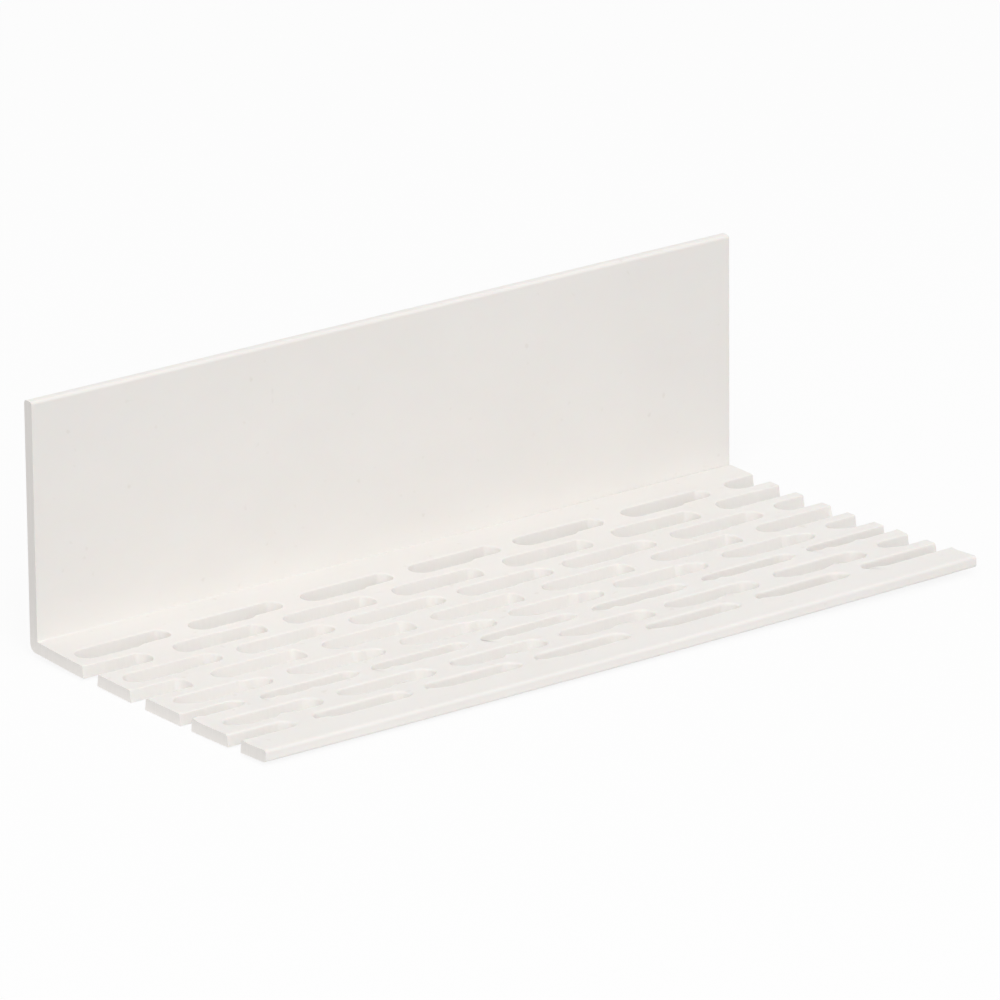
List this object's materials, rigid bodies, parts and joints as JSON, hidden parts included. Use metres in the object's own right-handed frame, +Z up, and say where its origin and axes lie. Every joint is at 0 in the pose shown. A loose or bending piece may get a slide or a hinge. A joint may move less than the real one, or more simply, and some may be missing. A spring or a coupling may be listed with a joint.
{
  "type": "ventilation angle profile",
  "caption": "White plastic angle profile with a plain upright leg and a lying leg pierced by staggered rows of round-ended slots, to ventilate and close off a wall cavity.",
  "frame": {"origin": "middle of the footprint, on the underside of the slotted leg", "axes": "+X along the profile, +Y from the front edge towards the back of the upright, +Z up"},
  "size_m": [0.1, 0.045, 0.03],
  "materials": {
    "white_pvc": "satin extruded"
  },
  "bodies": {
    "root": {"vent_angle": "white_pvc"}
  },
  "joints": []
}
